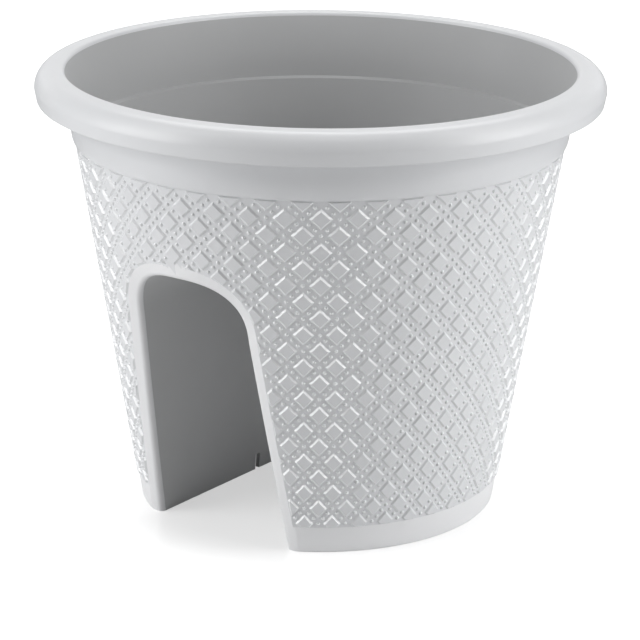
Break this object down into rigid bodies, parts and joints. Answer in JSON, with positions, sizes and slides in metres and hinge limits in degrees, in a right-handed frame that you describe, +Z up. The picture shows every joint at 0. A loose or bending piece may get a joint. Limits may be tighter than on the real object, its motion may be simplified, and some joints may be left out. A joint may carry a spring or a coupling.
{
  "type": "railing planter",
  "caption": "Round moulded planter with rolled rim, plain collar and diamond-relief wall, and an arched tunnel through its foot that sits astride a balcony rail; drain plugs pull out.",
  "frame": {"origin": "middle of the base plane that the two legs stand on, on the pot's upright axis", "axes": "+Z up along the pot's axis; the rail tunnel runs along Y; the legs stand at -X and +X"},
  "size_m": [0.3, 0.3, 0.236],
  "materials": {
    "pot_plastic": "satin white moulded polypropylene",
    "plug_plastic": "plain grey moulded polyethylene"
  },
  "bodies": {
    "pot": {"pot_body": "pot_plastic"},
    "plug_left": {"drain_plug_left": "plug_plastic"},
    "plug_right": {"drain_plug_right": "plug_plastic"}
  },
  "joints": [
    {"name": "plug_left_pull", "type": "slide", "parent": "pot", "child": "plug_left", "axis": [0, 0, 1], "range_m": [0, 0.03]},
    {"name": "plug_right_pull", "type": "slide", "parent": "pot", "child": "plug_right", "axis": [0, 0, 1], "range_m": [0, 0.03]}
  ]
}
